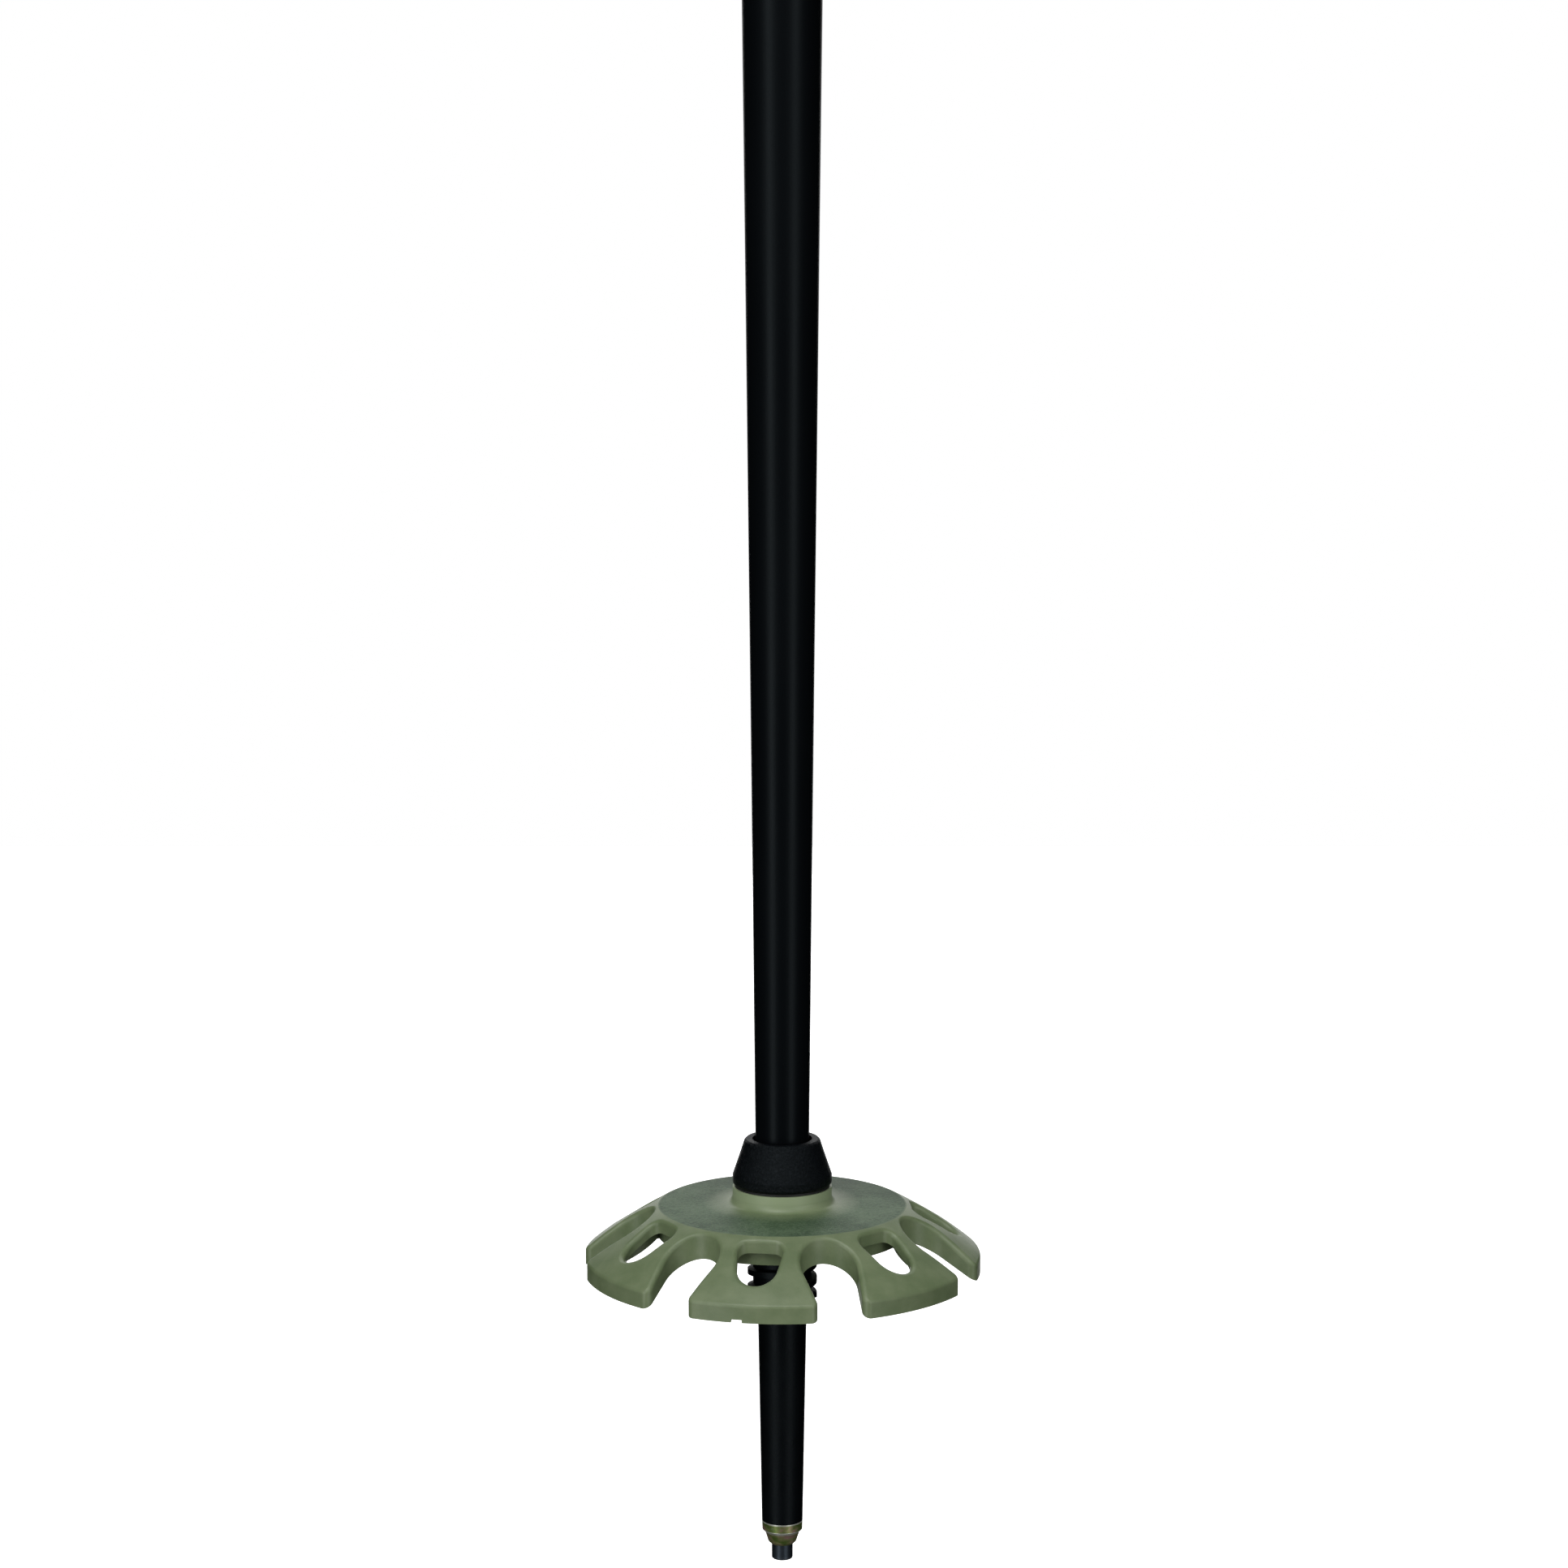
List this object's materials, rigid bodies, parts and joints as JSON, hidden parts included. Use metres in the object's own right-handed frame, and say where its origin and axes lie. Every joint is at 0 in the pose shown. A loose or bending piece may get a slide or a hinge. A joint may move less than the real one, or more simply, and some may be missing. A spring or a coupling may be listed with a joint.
{
  "type": "trekking pole",
  "caption": "Telescopic walking pole with a lever lock, hand grip and wrist strap, and a petal snow basket screwed onto a carbide-tipped ferrule.",
  "frame": {"origin": "centre of the flat end of the carbide tip, on the pole's axis", "axes": "+Z along the pole from the tip up to the grip, +X the side the wrist strap hangs on, -Y the side seen in front"},
  "size_m": [0.1026, 0.0916, 1.2],
  "materials": {
    "sintered_carbide": "dark sintered, faintly grainy",
    "plated_steel": "yellow zinc plate with a faint rainbow",
    "black_nylon": "moulded, fine grain",
    "washer_plastic": "matt",
    "olive_plastic": "moulded, satin, with a grained disc",
    "black_anodised": "satin black",
    "plug_plastic": "matt",
    "bare_steel": "turned, bright",
    "anodised_lever": "satin black anodised",
    "grip_rubber": "matt, textured",
    "foam": "closed-cell foam",
    "webbing": "woven nylon",
    "strap_lining": "brushed knit over thin foam"
  },
  "bodies": {
    "upper_section": {"upper_shaft": "black_anodised", "clamp_collar": "black_nylon", "cam_plate": "bare_steel", "barrel_pin": "bare_steel", "lock_washer": "bare_steel", "grip_core": "plug_plastic", "grip": "grip_rubber", "grip_cap": "black_nylon", "grip_extension": "foam", "extension_ring": "black_nylon", "strap_wedge": "black_nylon"},
    "lower_section": {"lower_shaft": "black_anodised", "shaft_end_plug": "plug_plastic", "tip_ferrule": "black_nylon", "tip_cup": "plated_steel", "carbide_pin": "sintered_carbide"},
    "washer": {"basket_washer": "washer_plastic"},
    "basket": {"snow_basket": "olive_plastic"},
    "lever": {"lock_lever": "anodised_lever"},
    "tension_adjuster": {"tension_screw": "bare_steel", "thumb_wheel": "black_nylon"},
    "strap": {"strap_webbing": "webbing", "strap_padding": "strap_lining"}
  },
  "joints": [
    {"name": "length_slide", "type": "slide", "parent": "upper_section", "child": "lower_section", "axis": [0, 0, 1], "range_m": [-0.1, 0.2]},
    {"name": "lever_open", "type": "hinge", "parent": "upper_section", "child": "lever", "pos_m": [0.0128, 0.019, 0.624], "axis": [0, 0, 1], "range_deg": [0, 130]},
    {"name": "tension_turn", "type": "hinge", "parent": "upper_section", "child": "tension_adjuster", "pos_m": [0, 0.019, 0.624], "axis": [1, 0, 0], "range_deg": [-360, 360]},
    {"name": "basket_drop", "type": "slide", "parent": "lower_section", "child": "washer", "axis": [0, 0, -1], "range_m": [0, 0.0254]},
    {"name": "basket_unscrew", "type": "hinge", "parent": "washer", "child": "basket", "pos_m": [0, 0, 0.086], "axis": [0, 0, -1], "range_deg": [0, 2340]},
    {"name": "strap_swing", "type": "hinge", "parent": "upper_section", "child": "strap", "pos_m": [0.0235, 0, 1.177], "axis": [0, -1, 0], "range_deg": [0, 135]}
  ],
  "couplings": [
    {"joint": "basket_drop", "follows": "basket_unscrew", "m_per_rad": 0.0006207}
  ]
}
